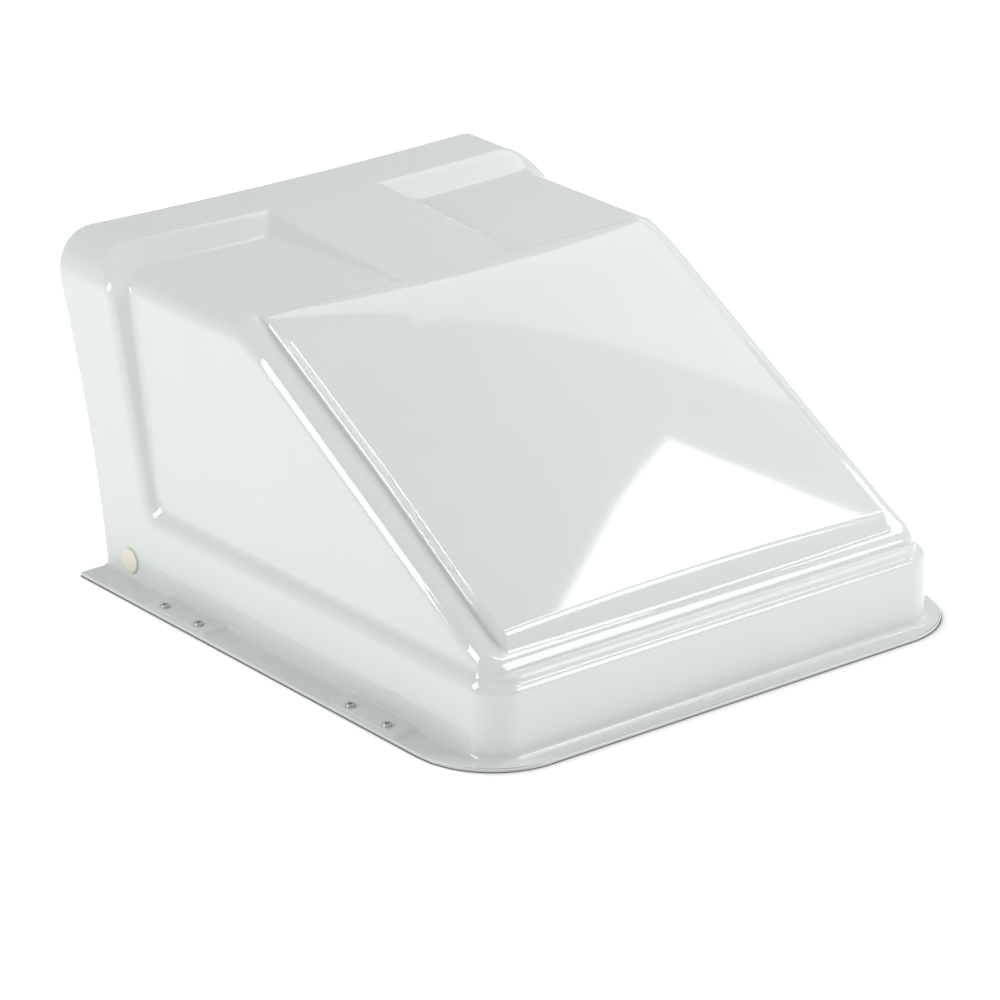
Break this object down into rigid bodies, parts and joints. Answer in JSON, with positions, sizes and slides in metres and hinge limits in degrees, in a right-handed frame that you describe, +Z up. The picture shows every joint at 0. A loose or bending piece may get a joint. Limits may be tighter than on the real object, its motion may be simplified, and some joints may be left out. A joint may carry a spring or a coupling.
{
  "type": "roof vent cover",
  "caption": "Wedge-shaped moulded hood that covers a caravan roof vent, with a flange, bracket feet and a louvred screen door in its open rear.",
  "frame": {"origin": "on the roof plane, in the middle of the cover's length and width", "axes": "+Z up from the roof; +Y towards the open rear mouth and the louvred door, -Y towards the low sloping front; +X to the right seen from the rear mouth's far side, that is with +Y away from the viewer"},
  "size_m": [0.489, 0.568, 0.261],
  "materials": {
    "hood_white": "milky white polyethylene, smooth and glossy, with a faint green-grey cast",
    "door_white": "white moulded polypropylene, satin",
    "screen_mesh": "charcoal coated glass-fibre insect mesh",
    "bracket_metal": "plain mill-finished sheet",
    "steel": "plain stainless steel",
    "spring_steel": "stainless spring steel",
    "ivory_nylon": "ivory nylon, satin gloss",
    "nylon": "natural nylon",
    "knob_grey": "dark grey moulded nylon, fine grain"
  },
  "bodies": {
    "hood": {"hood_shell": "hood_white", "bracket_front_left": "bracket_metal", "bracket_front_right": "bracket_metal", "bracket_rear_left": "bracket_metal", "bracket_rear_right": "bracket_metal", "flange_screws": "steel", "pivot_button_left": "ivory_nylon", "pivot_button_right": "ivory_nylon", "pivot_washer_left": "nylon", "pivot_washer_right": "nylon", "pivot_retainer_left": "spring_steel", "pivot_retainer_right": "spring_steel"},
    "louvre_door": {"louvre_grille": "door_white", "insect_screen": "screen_mesh", "screen_retainer": "door_white", "retainer_screws": "steel"},
    "latch_left": {"latch_knob_left": "knob_grey", "latch_tongue_left": "spring_steel", "latch_washer_left": "spring_steel", "latch_screw_left": "steel"},
    "latch_right": {"latch_knob_right": "knob_grey", "latch_tongue_right": "spring_steel", "latch_washer_right": "spring_steel", "latch_screw_right": "steel"}
  },
  "joints": [
    {"name": "door_hinge", "type": "hinge", "parent": "hood", "child": "louvre_door", "pos_m": [0, 0.185, 0.017], "axis": [-1, 0, 0], "range_deg": [0, 75]},
    {"name": "latch_left_turn", "type": "hinge", "parent": "louvre_door", "child": "latch_left", "pos_m": [-0.11, 0.24933, 0.2338], "axis": [0, -0.9681, 0.2504], "range_deg": [0, 90]},
    {"name": "latch_right_turn", "type": "hinge", "parent": "louvre_door", "child": "latch_right", "pos_m": [0.11, 0.24933, 0.2338], "axis": [0, -0.9681, 0.2504], "range_deg": [0, 90]}
  ]
}
